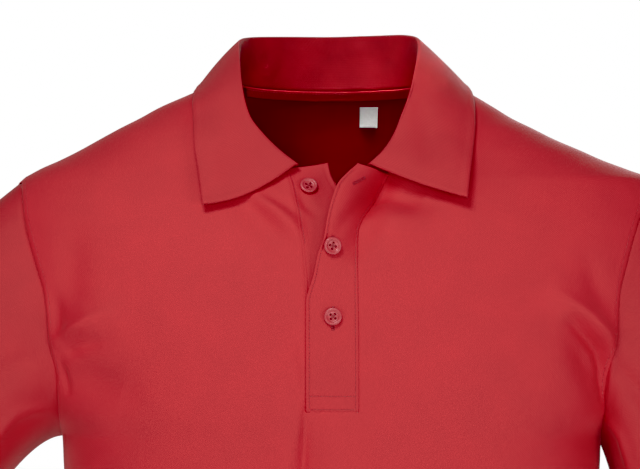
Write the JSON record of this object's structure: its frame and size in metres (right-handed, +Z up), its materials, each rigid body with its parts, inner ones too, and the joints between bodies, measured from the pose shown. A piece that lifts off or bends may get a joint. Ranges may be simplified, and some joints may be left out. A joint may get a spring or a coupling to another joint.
{
  "type": "polo shirt",
  "caption": "Short-sleeved knit polo shirt, filled out as worn, with a folded rib collar and an open buttoned placket.",
  "frame": {"origin": "centre of the neck opening, level with the neck ends of the shoulder seams, where the shirt hangs from its wearer", "axes": "+Z up to the neck, -Y the way the front faces, +X to the viewer's right, which is the wearer's left"},
  "size_m": [0.6935, 0.2495, 0.7348],
  "materials": {
    "front": "soft matt pique knit",
    "back": "soft matt pique knit",
    "sleeve_left": "soft matt pique knit",
    "sleeve_right": "soft matt pique knit",
    "collar": "fine rib knit",
    "placket_upper": "soft matt pique knit",
    "placket_under": "soft matt pique knit",
    "button_1": "satin, dyed to match",
    "button_2": "satin, dyed to match",
    "button_3": "satin, dyed to match",
    "neck_tape": "twill tape",
    "size_label": "plain woven label, left bare"
  },
  "bodies": {
    "root": {"front": "front", "back": "back", "sleeve_left": "sleeve_left", "sleeve_right": "sleeve_right", "collar": "collar", "placket_upper": "placket_upper", "placket_under": "placket_under", "button_1": "button_1", "button_2": "button_2", "button_3": "button_3", "neck_tape": "neck_tape", "size_label": "size_label"}
  },
  "joints": []
}
